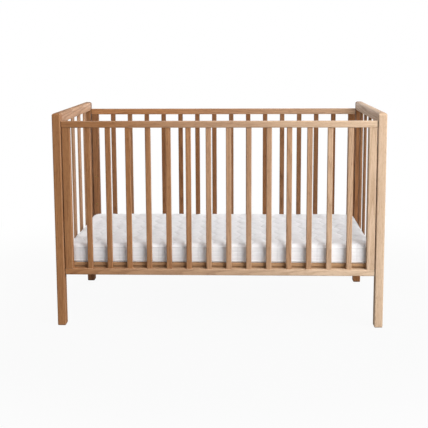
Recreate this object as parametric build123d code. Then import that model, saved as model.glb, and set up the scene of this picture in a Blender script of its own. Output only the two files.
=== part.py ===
"""Slatted wooden baby crib for a 1400 x 700 mattress, in millimetres.

X runs along the crib, Y from the front panel to the rear panel, Z up.
The origin is on the floor, under the middle of the crib.
"""

import math
import os

from build123d import *

# Overall size, over the corner posts
LENGTH = 1480.0
WIDTH = 776.0
HEIGHT = 975.0

# Corner posts and the rounding that they share with the end top rails
POST_X = 38.0
POST_Y = 42.0
POST_EDGE = 5.0
POST_INNER_EDGE = 2.0
TOP_ROUND = 12.0
FOOT_ROUND = 8.0

# End frames: rails between the posts, with upright slats
END_RAIL_HEIGHT = 44.0
END_SLATS = 4
END_SLAT_WIDTH = 42.0
END_SLAT_THICK = 11.0
END_SLAT_SETBACK = 4.0
END_DOWEL_D = 10.0
END_DOWEL_IN_POST = 14.0
END_DOWEL_IN_RAIL = 24.0
END_DOWEL_SPACING = 22.0

# Long side panels: rails, end stiles and slats
PANEL_THICK = 30.0
PANEL_INSET = 6.0
PANEL_GAP = 3.0
RAIL_HEIGHT = 29.0
RAIL_EDGE = 4.0
TOP_RAIL_DROP = 36.0
BOTTOM_RAIL_Z = 239.0
STILE_WIDTH = 36.0
SIDE_SLATS = 14
SLAT_WIDTH = 24.0
SLAT_DEPTH = 18.0
SLAT_EDGE = 4.0
SLAT_SEAT = 12.0
STILE_DOWEL_D = 6.0
STILE_DOWEL_LENGTH = 30.0
STILE_DOWEL_SPACING_X = 22.0
STILE_DOWEL_SPACING_Y = 17.0

# The largest share of a side that one rounding may take
EDGE_SHARE = 0.45

# Clearance round slats and dowels in their sockets, and past their ends
SOCKET_CLEARANCE = 0.1
SOCKET_END_CLEARANCE = 0.5

# Panel bolts, barrel nuts and spacers
BOLT_D = 6.0
BOLT_HEAD_D = 13.0
BOLT_HEAD_HEIGHT = 3.5
BOLT_HEAD_SINK = 0.5
BOLT_CLEARANCE = 0.25
BOLT_PAST_NUT = 6.0
HEX_KEY = 4.0
HEX_DEPTH = 2.5
NUT_D = 10.0
NUT_LENGTH = 22.0
NUT_FROM_RAIL_END = 48.0
THREAD_CLEARANCE = 0.05
SPACER_DEPTH = 22.0
SPACER_HEIGHT = 25.0
SPACER_EDGE = 3.0

# Base heights: support pins in threaded inserts in the stiles
LEVELS = 3
LEVEL_STEP = 150.0
PIN_ABOVE_RAIL = 8.0
PIN_D = 8.0
PIN_OUT = 11.0
PIN_THREAD_D = 6.0
PIN_THREAD_LENGTH = 11.0
PIN_CLEARANCE = 0.3
INSERT_D = 10.0
INSERT_LENGTH = 13.0

# Slatted base
BASE_SIDE_GAP = 2.0
BASE_END_GAP = 2.5
BASE_BEAM_THICK = 24.0
BASE_BEAM_HEIGHT = 45.0
BASE_ABOVE_PIN = 12.0
BASE_EDGE = 3.0
BEAM_REBATE = 8.0
TENON_LENGTH = 9.0
TENON_WIDTH = 12.0
TENON_HEIGHT = 27.0
BASE_SLATS = 12
BASE_SLAT_WIDTH = 60.0
BASE_SLAT_THICK = 12.0
BASE_SLAT_SEAT = 12.0
SCREW_D = 3.5
SCREW_HEAD_D = 7.0
SCREW_LENGTH = 26.0

# Mattress: boxed side up to a seam, rolled top edge, low crown and zigzag quilting channels
MATTRESS_SIDE_GAP = 3.0
MATTRESS_END_GAP = 4.0
MATTRESS_CORNER = 50.0
MATTRESS_SEAM = 72.0
MATTRESS_ROLL_WIDTH = 30.0
MATTRESS_ROLL_HEIGHT = 18.0
MATTRESS_CROWN = 8.0
# The lengthwise arc rises past the crown, so that it only draws the two ends down
MATTRESS_END_CROWN = 40.0
MATTRESS_DRAW_IN = 4.0
MATTRESS_FOOT_INSET = 6.0
MATTRESS_FOOT_HEIGHT = 10.0
QUILT_PITCH = 60.0
QUILT_WAVE = 124.0
QUILT_SWING = 26.0
QUILT_WIDTH = 5.0
QUILT_DEPTH = 3.0
QUILT_MARGIN = 46.0

# Places worked out from the sizes above
END_INNER_X = LENGTH / 2 - POST_X
PANEL_OUTER_Y = WIDTH / 2 - PANEL_INSET
PANEL_INNER_Y = PANEL_OUTER_Y - PANEL_THICK
PANEL_MID_Y = PANEL_OUTER_Y - PANEL_THICK / 2
PANEL_HALF = END_INNER_X - PANEL_GAP
TOP_RAIL_TOP = HEIGHT - TOP_RAIL_DROP
TOP_RAIL_BOTTOM = TOP_RAIL_TOP - RAIL_HEIGHT
BOTTOM_RAIL_TOP = BOTTOM_RAIL_Z + RAIL_HEIGHT
PANEL_MID_Z = (TOP_RAIL_TOP + BOTTOM_RAIL_Z) / 2
TOP_BOLT_Z = TOP_RAIL_TOP - RAIL_HEIGHT / 2
BOTTOM_BOLT_Z = BOTTOM_RAIL_Z + RAIL_HEIGHT / 2
STILE_X = PANEL_HALF - STILE_WIDTH / 2
SLAT_GAP = (2 * (PANEL_HALF - STILE_WIDTH) - SIDE_SLATS * SLAT_WIDTH) / (SIDE_SLATS + 1)
SLAT_PITCH = SLAT_GAP + SLAT_WIDTH
POST_INNER_Y = WIDTH / 2 - POST_Y
END_RAIL_LENGTH = 2 * POST_INNER_Y
END_TOP_BOTTOM = HEIGHT - END_RAIL_HEIGHT
END_LOW_TOP = BOTTOM_RAIL_Z + END_RAIL_HEIGHT
END_RAIL_X = LENGTH / 2 - POST_X / 2
END_SLAT_X = END_INNER_X + END_SLAT_SETBACK + END_SLAT_THICK / 2
END_SLAT_GAP = (END_RAIL_LENGTH - END_SLATS * END_SLAT_WIDTH) / (END_SLATS + 1)
BOLT_HEAD_SEAT_X = LENGTH / 2 - BOLT_HEAD_SINK - BOLT_HEAD_HEIGHT
NUT_X = PANEL_HALF - NUT_FROM_RAIL_END
BOLT_TIP_X = NUT_X - NUT_D / 2 - BOLT_PAST_NUT
PIN_Z = BOTTOM_RAIL_TOP + PIN_ABOVE_RAIL
BASE_TOP = PIN_Z + BASE_ABOVE_PIN
BASE_BOTTOM = BASE_TOP - BASE_BEAM_HEIGHT
BASE_HALF_X = END_INNER_X - BASE_END_GAP
BASE_HALF_Y = PANEL_INNER_Y - BASE_SIDE_GAP
BEAM_INNER_Y = BASE_HALF_Y - BASE_BEAM_THICK
BEAM_INNER_X = BASE_HALF_X - BASE_BEAM_THICK
BASE_SLAT_GAP = (2 * BEAM_INNER_X - BASE_SLATS * BASE_SLAT_WIDTH) / (BASE_SLATS + 1)
BASE_SEAT_Y = BEAM_INNER_Y + BASE_SLAT_SEAT
MATTRESS_HALF_X = END_INNER_X - MATTRESS_END_GAP
MATTRESS_HALF_Y = PANEL_INNER_Y - MATTRESS_SIDE_GAP
MATTRESS_SHOULDER = MATTRESS_SEAM + MATTRESS_ROLL_HEIGHT

parts = {}


def edge_limit(radius, *sides):
    """A rounding that its piece can take."""
    return min(radius, EDGE_SHARE * min(sides))


def bar_x(half_length, depth, height, edge):
    """A bar along X, centred on the origin, with rounded long edges."""
    section = RectangleRounded(depth, height, edge_limit(edge, depth, height))
    return extrude(Plane.YZ * section, amount=half_length, both=True)


def bar_y(half_length, depth, height, edge):
    """A bar along Y, centred on the origin, with rounded long edges."""
    section = RectangleRounded(depth, height, edge_limit(edge, depth, height))
    return extrude(Plane.XZ * section, amount=half_length, both=True)


def bar_z(width, depth, bottom, top, edge):
    """An upright bar on the Z axis, from bottom to top, with rounded upright edges."""
    section = RectangleRounded(width, depth, edge_limit(edge, width, depth))
    return Pos(0, 0, bottom) * extrude(section, amount=top - bottom)


def rod_x(radius, start, end, y, z):
    """A round rod or hole along X."""
    return Pos((start + end) / 2, y, z) * Rot(0, 90, 0) * Cylinder(radius, abs(end - start))


def rod_y(radius, start, end, x, z):
    """A round rod or hole along Y."""
    return Pos(x, (start + end) / 2, z) * Rot(90, 0, 0) * Cylinder(radius, abs(end - start))


def rod_z(radius, start, end, x, y):
    """A round rod or hole along Z."""
    return Pos(x, y, (start + end) / 2) * Cylinder(radius, abs(end - start))


def block(low, high):
    """A plain box between two corners."""
    size = [h - l for l, h in zip(low, high)]
    middle = [(l + h) / 2 for l, h in zip(low, high)]
    return Pos(*middle) * Box(*size)


def hex_recess(depth):
    """A hexagon key recess, opening at the origin towards +Z."""
    return Pos(0, 0, -depth) * extrude(RegularPolygon(HEX_KEY / math.sqrt(3), 6), amount=depth)


def other_end(shape):
    """The same shape at the other end of the crib."""
    return mirror(shape, Plane.YZ)


def other_side(shape):
    """The same shape on the other long side of the crib."""
    return mirror(shape, Plane.XZ)


def all_corners(shape):
    """The shape at the front left corner, and at the three other corners."""
    return [shape, other_end(shape), other_side(shape), other_end(other_side(shape))]


def group(shapes):
    """Separate solids that share one node."""
    return Compound(children=[solid for shape in shapes for solid in shape.solids()])


# End frames

def dowel_heights():
    """Heights of the end rail dowels: two at each end rail."""
    middles = (HEIGHT - END_RAIL_HEIGHT / 2, BOTTOM_RAIL_Z + END_RAIL_HEIGHT / 2)
    return [middle + side * END_DOWEL_SPACING / 2 for middle in middles for side in (-1, 1)]


def post_blank():
    """A post on the Z axis, with its outer edges at -X and -Y."""
    plan = Rectangle(POST_X, POST_Y)
    plan = fillet(plan.vertices().group_by(Axis.Y)[0], edge_limit(POST_EDGE, POST_X, POST_Y))
    plan = fillet(plan.vertices().group_by(Axis.Y)[-1], POST_INNER_EDGE)
    front = Rectangle(POST_X, HEIGHT)
    front = fillet(front.vertices().group_by(Axis.Y)[-1], edge_limit(TOP_ROUND, POST_X))
    front = fillet(front.vertices().group_by(Axis.Y)[0], edge_limit(FOOT_ROUND, POST_X))
    side = Rectangle(POST_Y, HEIGHT)
    side = fillet(side.vertices().group_by(Axis.Y)[-1].sort_by(Axis.X)[0], TOP_ROUND)
    side = fillet(side.vertices().group_by(Axis.Y)[0], edge_limit(FOOT_ROUND, POST_Y))
    middle = HEIGHT / 2
    post = extrude(plan, amount=HEIGHT)
    post &= Pos(0, 0, middle) * extrude(Plane.XZ * front, amount=POST_Y, both=True)
    post &= Pos(0, 0, middle) * extrude(Plane.YZ * side, amount=POST_X, both=True)
    return post


def corner_post():
    """The front left post, with its bolt and dowel holes."""
    post = Pos(-END_RAIL_X, -WIDTH / 2 + POST_Y / 2, 0) * post_blank()
    hole = BOLT_D / 2 + BOLT_CLEARANCE
    head = BOLT_HEAD_D / 2 + BOLT_CLEARANCE
    for z in (TOP_BOLT_Z, BOTTOM_BOLT_Z):
        post -= rod_x(hole, -LENGTH / 2, -END_INNER_X, -PANEL_MID_Y, z)
        post -= rod_x(head, -LENGTH / 2, -BOLT_HEAD_SEAT_X, -PANEL_MID_Y, z)
    socket = END_DOWEL_D / 2 + SOCKET_CLEARANCE
    deep = END_DOWEL_IN_POST + SOCKET_END_CLEARANCE
    for z in dowel_heights():
        post -= rod_y(socket, -POST_INNER_Y - deep, -POST_INNER_Y, -END_RAIL_X, z)
    return post


def end_slat_places():
    """Y of each end slat's middle."""
    pitch = END_SLAT_GAP + END_SLAT_WIDTH
    first = -POST_INNER_Y + END_SLAT_GAP + END_SLAT_WIDTH / 2
    return [first + i * pitch for i in range(END_SLATS)]


def end_slat_bar(bottom, top, clearance):
    """An end slat's section between two heights, on the Z axis."""
    width = END_SLAT_THICK + 2 * clearance
    depth = END_SLAT_WIDTH + 2 * clearance
    return bar_z(width, depth, bottom, top, SLAT_EDGE + clearance)


def end_rail_sockets(rail, middle_z, slat_bottom, slat_top):
    """Cuts the slat mortises and dowel holes into a left end rail."""
    for y in end_slat_places():
        rail -= Pos(-END_SLAT_X, y, 0) * end_slat_bar(slat_bottom, slat_top, SOCKET_CLEARANCE)
    socket = END_DOWEL_D / 2 + SOCKET_CLEARANCE
    inner = POST_INNER_Y - END_DOWEL_IN_RAIL - SOCKET_END_CLEARANCE
    for side in (-1, 1):
        z = middle_z + side * END_DOWEL_SPACING / 2
        rail -= rod_y(socket, -POST_INNER_Y, -inner, -END_RAIL_X, z)
        rail -= rod_y(socket, inner, POST_INNER_Y, -END_RAIL_X, z)
    return rail


def end_top_rail():
    """The left end's top rail, whose top corners follow the posts'."""
    middle_z = HEIGHT - END_RAIL_HEIGHT / 2
    section = Rectangle(POST_X, END_RAIL_HEIGHT)
    section = fillet(section.vertices().group_by(Axis.Y)[-1], edge_limit(TOP_ROUND, POST_X))
    section = fillet(section.vertices().group_by(Axis.Y)[0], RAIL_EDGE)
    rail = extrude(Plane.XZ * section, amount=POST_INNER_Y, both=True)
    rail = Pos(-END_RAIL_X, 0, middle_z) * rail
    top = END_TOP_BOTTOM + SLAT_SEAT + SOCKET_END_CLEARANCE
    return end_rail_sockets(rail, middle_z, END_TOP_BOTTOM, top)


def end_bottom_rail():
    """The left end's bottom rail."""
    middle_z = BOTTOM_RAIL_Z + END_RAIL_HEIGHT / 2
    rail = Pos(-END_RAIL_X, 0, middle_z) * bar_y(POST_INNER_Y, POST_X, END_RAIL_HEIGHT, RAIL_EDGE)
    bottom = END_LOW_TOP - SLAT_SEAT - SOCKET_END_CLEARANCE
    return end_rail_sockets(rail, middle_z, bottom, END_LOW_TOP)


def end_slats():
    """The left end's upright slats."""
    slat = end_slat_bar(END_LOW_TOP - SLAT_SEAT, END_TOP_BOTTOM + SLAT_SEAT, 0)
    return [Pos(-END_SLAT_X, y, 0) * slat for y in end_slat_places()]


def end_dowels():
    """Dowels between the end rails and the posts."""
    start = -POST_INNER_Y - END_DOWEL_IN_POST
    end = -POST_INNER_Y + END_DOWEL_IN_RAIL
    dowels = [rod_y(END_DOWEL_D / 2, start, end, -END_RAIL_X, z) for z in dowel_heights()]
    return [copy for dowel in dowels for copy in all_corners(dowel)]


# Long side panels, drawn at the front

def slat_places():
    """X of each side slat's middle."""
    first = -PANEL_HALF + STILE_WIDTH + SLAT_GAP + SLAT_WIDTH / 2
    return [first + i * SLAT_PITCH for i in range(SIDE_SLATS)]


def slat_bar(bottom, top, clearance):
    """A side slat's section between two heights, on the Z axis."""
    width = SLAT_WIDTH + 2 * clearance
    depth = SLAT_DEPTH + 2 * clearance
    return bar_z(width, depth, bottom, top, SLAT_EDGE + clearance)


def stile_dowel_places():
    """X and Y of the dowels in both stiles: a diagonal pair that passes the bolt and the inserts."""
    across = STILE_DOWEL_SPACING_X / 2
    back = STILE_DOWEL_SPACING_Y / 2
    left = [(-STILE_X + side * across, -PANEL_MID_Y + side * back) for side in (-1, 1)]
    return left + [(-x, y) for x, y in left]


def top_rail():
    """The front panel's top rail, with mortises, dowel holes and bolt holes."""
    rail = Pos(0, -PANEL_MID_Y, TOP_BOLT_Z) * bar_x(PANEL_HALF, PANEL_THICK, RAIL_HEIGHT, RAIL_EDGE)
    seat_top = TOP_RAIL_BOTTOM + SLAT_SEAT + SOCKET_END_CLEARANCE
    mortise = slat_bar(TOP_RAIL_BOTTOM, seat_top, SOCKET_CLEARANCE)
    for x in slat_places():
        rail -= Pos(x, -PANEL_MID_Y, 0) * mortise
    dowel_top = TOP_RAIL_BOTTOM + STILE_DOWEL_LENGTH / 2 + SOCKET_END_CLEARANCE
    for x, y in stile_dowel_places():
        rail -= rod_z(STILE_DOWEL_D / 2 + SOCKET_CLEARANCE, TOP_RAIL_BOTTOM, dowel_top, x, y)
    bolt_hole = BOLT_D / 2 + BOLT_CLEARANCE
    bolt_end = BOLT_TIP_X - SOCKET_END_CLEARANCE
    for side in (-1, 1):
        rail -= rod_x(bolt_hole, side * PANEL_HALF, side * bolt_end, -PANEL_MID_Y, TOP_BOLT_Z)
    return rail


def with_nut_holes(rail, underside, bolt_z):
    """A rail with its barrel nut holes, drilled from the underside."""
    hole_end = bolt_z + NUT_LENGTH / 2 + SOCKET_END_CLEARANCE
    for x in (-NUT_X, NUT_X):
        rail -= rod_z(NUT_D / 2 + SOCKET_CLEARANCE, underside, hole_end, x, -PANEL_MID_Y)
    return rail


def level_heights():
    """Heights of the support pins at each level of the base."""
    return [PIN_Z + i * LEVEL_STEP for i in range(LEVELS)]


def stile():
    """The front panel's left stile, with dowel holes and insert holes."""
    post = bar_z(STILE_WIDTH, PANEL_THICK, BOTTOM_RAIL_TOP, TOP_RAIL_BOTTOM, RAIL_EDGE)
    post = Pos(-STILE_X, -PANEL_MID_Y, 0) * post
    deep = STILE_DOWEL_LENGTH / 2 + SOCKET_END_CLEARANCE
    socket = STILE_DOWEL_D / 2 + SOCKET_CLEARANCE
    for x, y in stile_dowel_places()[:2]:
        post -= rod_z(socket, BOTTOM_RAIL_TOP, BOTTOM_RAIL_TOP + deep, x, y)
        post -= rod_z(socket, TOP_RAIL_BOTTOM - deep, TOP_RAIL_BOTTOM, x, y)
    bottom = -PANEL_INNER_Y - INSERT_LENGTH - SOCKET_END_CLEARANCE
    for z in level_heights():
        post -= rod_y(INSERT_D / 2 + SOCKET_CLEARANCE, bottom, -PANEL_INNER_Y, -STILE_X, z)
    return post


def stile_dowels():
    """Dowels between the stiles and the rails of both panels."""
    half = STILE_DOWEL_LENGTH / 2
    dowels = []
    for x, y in stile_dowel_places():
        for z in (BOTTOM_RAIL_TOP, TOP_RAIL_BOTTOM):
            dowels.append(rod_z(STILE_DOWEL_D / 2, z - half, z + half, x, y))
    return dowels + [other_side(dowel) for dowel in dowels]


# Hardware that joins the panels to the posts

def panel_bolt(z):
    """A socket head bolt through the front left post."""
    bolt = rod_x(BOLT_D / 2, -BOLT_HEAD_SEAT_X, -BOLT_TIP_X, -PANEL_MID_Y, z)
    face_x = -BOLT_HEAD_SEAT_X - BOLT_HEAD_HEIGHT
    bolt += rod_x(BOLT_HEAD_D / 2, face_x, -BOLT_HEAD_SEAT_X, -PANEL_MID_Y, z)
    return bolt - Pos(face_x, -PANEL_MID_Y, z) * Rot(0, -90, 0) * hex_recess(HEX_DEPTH)


def barrel_nut(z):
    """An upright barrel nut in the front left rail end, with its threaded cross hole."""
    half = NUT_LENGTH / 2
    nut = rod_z(NUT_D / 2, z - half, z + half, -NUT_X, -PANEL_MID_Y)
    thread = BOLT_D / 2 + THREAD_CLEARANCE
    return nut - rod_x(thread, -NUT_X - NUT_D, -NUT_X + NUT_D, -PANEL_MID_Y, z)


def spacer(z):
    """A dark spacer between the front left post and a rail end."""
    ring = bar_x(PANEL_GAP / 2, SPACER_DEPTH, SPACER_HEIGHT, SPACER_EDGE)
    ring = Pos(-PANEL_HALF - PANEL_GAP / 2, -PANEL_MID_Y, z) * ring
    return ring - rod_x(BOLT_D / 2 + BOLT_CLEARANCE, -END_INNER_X, -PANEL_HALF, -PANEL_MID_Y, z)


def at_rail_ends(make):
    """One piece at each end of each panel rail."""
    return [copy for z in (TOP_BOLT_Z, BOTTOM_BOLT_Z) for copy in all_corners(make(z))]


# Base supports

def insert_nut(z):
    """A threaded insert in the front left stile, flush with its inner face."""
    start = -PANEL_INNER_Y - INSERT_LENGTH
    nut = rod_y(INSERT_D / 2, start, -PANEL_INNER_Y, -STILE_X, z)
    return nut - rod_y(PIN_THREAD_D / 2 + THREAD_CLEARANCE, start, -PANEL_INNER_Y, -STILE_X, z)


def support_pin():
    """A shoulder pin in the front left stile's lowest insert."""
    tip = -PANEL_INNER_Y + PIN_OUT
    pin = rod_y(PIN_D / 2, -PANEL_INNER_Y, tip, -STILE_X, PIN_Z)
    pin += rod_y(PIN_THREAD_D / 2, -PANEL_INNER_Y - PIN_THREAD_LENGTH, -PANEL_INNER_Y, -STILE_X, PIN_Z)
    return pin - Pos(-STILE_X, tip, PIN_Z) * Rot(-90, 0, 0) * hex_recess(HEX_DEPTH)


# Slatted base

def base_slat_places():
    """X of each base slat's middle."""
    pitch = BASE_SLAT_GAP + BASE_SLAT_WIDTH
    first = -BEAM_INNER_X + BASE_SLAT_GAP + BASE_SLAT_WIDTH / 2
    return [first + i * pitch for i in range(BASE_SLATS)]


def screw_y():
    """Y of the front screws, in the middle of the slats' seats."""
    return -(BEAM_INNER_Y + BASE_SEAT_Y) / 2


def base_tenon(clearance):
    """The front tenon of the left base beam."""
    x = -BASE_HALF_X + BASE_BEAM_THICK / 2
    half_x = TENON_WIDTH / 2 + clearance
    half_z = TENON_HEIGHT / 2 + clearance
    z = (BASE_TOP + BASE_BOTTOM) / 2
    tip = -BEAM_INNER_Y - TENON_LENGTH - (SOCKET_END_CLEARANCE if clearance else 0)
    return block((x - half_x, tip, z - half_z), (x + half_x, -BEAM_INNER_Y, z + half_z))


def long_beam():
    """The base's front beam: a lip over the pins with a rebate under it, slat seats and mortises."""
    middle = (-(BASE_HALF_Y + BEAM_INNER_Y) / 2, (BASE_TOP + BASE_BOTTOM) / 2)
    beam = Pos(0, *middle) * bar_x(BASE_HALF_X, BASE_BEAM_THICK, BASE_BEAM_HEIGHT, BASE_EDGE)
    rebate_y = -BASE_HALF_Y + BEAM_REBATE
    beam -= block((-BASE_HALF_X, -BASE_HALF_Y, BASE_BOTTOM), (BASE_HALF_X, rebate_y, PIN_Z))
    half = BASE_SLAT_WIDTH / 2 + SOCKET_CLEARANCE
    wall = -BASE_SEAT_Y - SOCKET_END_CLEARANCE
    pilot = SCREW_D / 2 + THREAD_CLEARANCE
    screw_end = BASE_TOP - SCREW_LENGTH - SOCKET_END_CLEARANCE
    for x in base_slat_places():
        beam -= block((x - half, wall, BASE_TOP - BASE_SLAT_THICK), (x + half, -BEAM_INNER_Y, BASE_TOP))
        beam -= rod_z(pilot, screw_end, BASE_TOP - BASE_SLAT_THICK, x, screw_y())
    beam -= base_tenon(SOCKET_CLEARANCE)
    beam -= other_end(base_tenon(SOCKET_CLEARANCE))
    pocket = PIN_D / 2 + PIN_CLEARANCE
    pocket_y = -PANEL_INNER_Y + PIN_OUT + SOCKET_END_CLEARANCE
    for x in (-STILE_X, STILE_X):
        beam -= block((x - pocket, -BASE_HALF_Y, BASE_BOTTOM), (x + pocket, pocket_y, PIN_Z))
        beam -= rod_y(pocket, -BASE_HALF_Y, pocket_y, x, PIN_Z)
    return beam


def cross_beam():
    """The base's left beam, with a tenon at each end."""
    x = -(BASE_HALF_X + BEAM_INNER_X) / 2
    z = (BASE_TOP + BASE_BOTTOM) / 2
    beam = Pos(x, 0, z) * bar_y(BEAM_INNER_Y, BASE_BEAM_THICK, BASE_BEAM_HEIGHT, BASE_EDGE)
    return beam + base_tenon(0) + other_side(base_tenon(0))


def screw_head(radius_gap):
    """A countersunk screw head with its top at the origin."""
    head = SCREW_HEAD_D / 2 + radius_gap
    neck = SCREW_D / 2 + radius_gap
    return Pos(0, 0, -(head - neck) / 2) * Cone(neck, head, head - neck)


def base_slats():
    """The slats across the base, with countersunk screw holes."""
    slat = block((-BASE_SLAT_WIDTH / 2, -BASE_SEAT_Y, BASE_TOP - BASE_SLAT_THICK),
                 (BASE_SLAT_WIDTH / 2, BASE_SEAT_Y, BASE_TOP))
    for y in (screw_y(), -screw_y()):
        slat -= rod_z(SCREW_D / 2 + SOCKET_CLEARANCE, BASE_TOP - BASE_SLAT_THICK, BASE_TOP, 0, y)
        slat -= Pos(0, y, BASE_TOP) * screw_head(SOCKET_CLEARANCE)
    return [Pos(x, 0, 0) * slat for x in base_slat_places()]


def base_screws():
    """Countersunk screws that hold the base slats."""
    screw = rod_z(SCREW_D / 2, BASE_TOP - SCREW_LENGTH, BASE_TOP - SCREW_D / 2, 0, 0)
    screw += Pos(0, 0, BASE_TOP) * screw_head(0)
    return [Pos(x, y, 0) * screw for x in base_slat_places() for y in (screw_y(), -screw_y())]


# Mattress

def mattress_plan():
    """The mattress from above: rounded corners, and sides drawn in between them."""
    half_x = MATTRESS_HALF_X
    half_y = MATTRESS_HALF_Y
    corner = edge_limit(MATTRESS_CORNER, half_x, half_y)
    flat_x = half_x - corner
    flat_y = half_y - corner
    middle = corner * math.sqrt(0.5)
    side_x = ThreePointArc((flat_x, half_y), (0, half_y - MATTRESS_DRAW_IN), (-flat_x, half_y))
    side_y = ThreePointArc((half_x, -flat_y), (half_x - MATTRESS_DRAW_IN, 0), (half_x, flat_y))
    turn = ThreePointArc((half_x, flat_y), (flat_x + middle, flat_y + middle), (flat_x, half_y))
    half = [side_y, turn, side_x, mirror(turn, Plane.YZ)]
    return make_face(half + [edge.rotate(Axis.Z, 180) for edge in half])


def mattress_profile(half, crown, sink):
    """An upright section across the mattress: boxed side, rolled edge and crowned top."""
    roll = edge_limit(MATTRESS_ROLL_WIDTH, half)
    lean = math.sqrt(0.5)
    shoulder = (half - roll, MATTRESS_SHOULDER - sink)
    on_roll = (half - roll * (1 - lean), MATTRESS_SEAM + MATTRESS_ROLL_HEIGHT * lean - sink)
    right = [
        Line((0, 0), (half - MATTRESS_FOOT_INSET, 0)),
        Line((half - MATTRESS_FOOT_INSET, 0), (half, MATTRESS_FOOT_HEIGHT)),
        Line((half, MATTRESS_FOOT_HEIGHT), (half, MATTRESS_SEAM - sink)),
        ThreePointArc((half, MATTRESS_SEAM - sink), on_roll, shoulder),
    ]
    top = ThreePointArc(shoulder, (0, MATTRESS_SHOULDER + crown - sink), (-shoulder[0], shoulder[1]))
    return make_face(right + [top] + [mirror(edge, Plane.YZ) for edge in right])


def mattress_form(sink):
    """The mattress without quilting, with all that is above the seam lowered by sink."""
    across = mattress_profile(MATTRESS_HALF_Y, MATTRESS_CROWN, sink)
    along = mattress_profile(MATTRESS_HALF_X, MATTRESS_END_CROWN, sink)
    form = extrude(mattress_plan(), amount=MATTRESS_SHOULDER + MATTRESS_CROWN)
    form &= extrude(Plane.YZ * across, amount=MATTRESS_HALF_X, both=True)
    form &= extrude(Plane.XZ * along, amount=MATTRESS_HALF_Y, both=True)
    return Pos(0, 0, BASE_TOP) * form


def quilt_band(x):
    """A zigzag band along Y, in plan, as wide as a quilting channel."""
    reach = MATTRESS_HALF_Y - QUILT_MARGIN
    half_waves = max(2, round(2 * reach / (QUILT_WAVE / 2)))
    step = 2 * reach / half_waves
    line = [(x + QUILT_SWING / 2 * (-1) ** i, -reach + i * step) for i in range(half_waves + 1)]
    half = QUILT_WIDTH / 2
    return Polygon(*[(px + half, y) for px, y in line],
                   *[(px - half, y) for px, y in reversed(line)], align=None)


def quilt_columns():
    """X of each zigzag channel."""
    reach = MATTRESS_HALF_X - QUILT_MARGIN - QUILT_SWING / 2
    count = int(2 * reach // QUILT_PITCH) + 1
    return [(i - (count - 1) / 2) * QUILT_PITCH for i in range(count)]


def mattress():
    """The mattress, with zigzag channels of even depth across its crowned top."""
    form = mattress_form(0)
    floor = mattress_form(QUILT_DEPTH)
    bottom = BASE_TOP + MATTRESS_SEAM
    tall = MATTRESS_ROLL_HEIGHT + MATTRESS_CROWN + QUILT_DEPTH
    bands = [Pos(0, 0, bottom) * extrude(quilt_band(x), amount=tall) for x in quilt_columns()]
    return form - [band - floor for band in bands]


# The nodes

def mirrored_ends(name, shape):
    """A left piece and its copy at the right end."""
    parts[f"left_{name}"] = shape
    parts[f"right_{name}"] = other_end(shape)


post_names = ("front_left_post", "front_right_post", "rear_left_post", "rear_right_post")
for post_name, post_shape in zip(post_names, all_corners(corner_post())):
    parts[post_name] = post_shape
mirrored_ends("end_top_rail", end_top_rail())
mirrored_ends("end_bottom_rail", end_bottom_rail())
parts["left_end_slats"] = group(end_slats())
parts["right_end_slats"] = group([other_end(slat) for slat in end_slats()])
parts["end_rail_dowels"] = group(end_dowels())

rail_blank = top_rail()
rail_top = with_nut_holes(rail_blank, TOP_RAIL_BOTTOM, TOP_BOLT_Z)
rail_blank = mirror(rail_blank, Plane.XY.offset(PANEL_MID_Z))
rail_bottom = with_nut_holes(rail_blank, BOTTOM_RAIL_Z, BOTTOM_BOLT_Z)
stile_left = stile()
stile_right = other_end(stile_left)
for side_name, place in (("front", lambda shape: shape), ("rear", other_side)):
    parts[f"{side_name}_top_rail"] = place(rail_top)
    parts[f"{side_name}_bottom_rail"] = place(rail_bottom)
    parts[f"{side_name}_left_stile"] = place(stile_left)
    parts[f"{side_name}_right_stile"] = place(stile_right)
    slat_shape = slat_bar(BOTTOM_RAIL_TOP - SLAT_SEAT, TOP_RAIL_BOTTOM + SLAT_SEAT, 0)
    for number, slat_x in enumerate(slat_places(), start=1):
        parts[f"{side_name}_slat_{number:02d}"] = place(Pos(slat_x, -PANEL_MID_Y, 0) * slat_shape)
parts["stile_dowels"] = group(stile_dowels())

parts["panel_bolts"] = group(at_rail_ends(panel_bolt))
parts["barrel_nuts"] = group(at_rail_ends(barrel_nut))
parts["panel_spacers"] = group(at_rail_ends(spacer))
parts["insert_nuts"] = group([copy for z in level_heights() for copy in all_corners(insert_nut(z))])
parts["base_support_pins"] = group(all_corners(support_pin()))

parts["base_front_beam"] = long_beam()
parts["base_rear_beam"] = other_side(long_beam())
parts["base_left_beam"] = cross_beam()
parts["base_right_beam"] = other_end(cross_beam())
parts["base_slats"] = group(base_slats())
parts["base_slat_screws"] = group(base_screws())
parts["mattress"] = mattress()

os.makedirs("parts", exist_ok=True)
for node_name, node_shape in parts.items():
    export_step(node_shape, f"parts/{node_name}.step")
print(f"{len(parts)} nodes, slat gap {SLAT_GAP:.1f}, end slat gap {END_SLAT_GAP:.1f}")
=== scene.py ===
"""Looks of a slatted oak crib around its solids: wood, hardware, quilted mattress, light and camera.

Lengths are in metres, in the frame of the solids: X along the crib, Y from front to rear, Z up.
"""

import math
import random

import bpy
import numpy as np
from mathutils import Matrix, Vector


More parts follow.
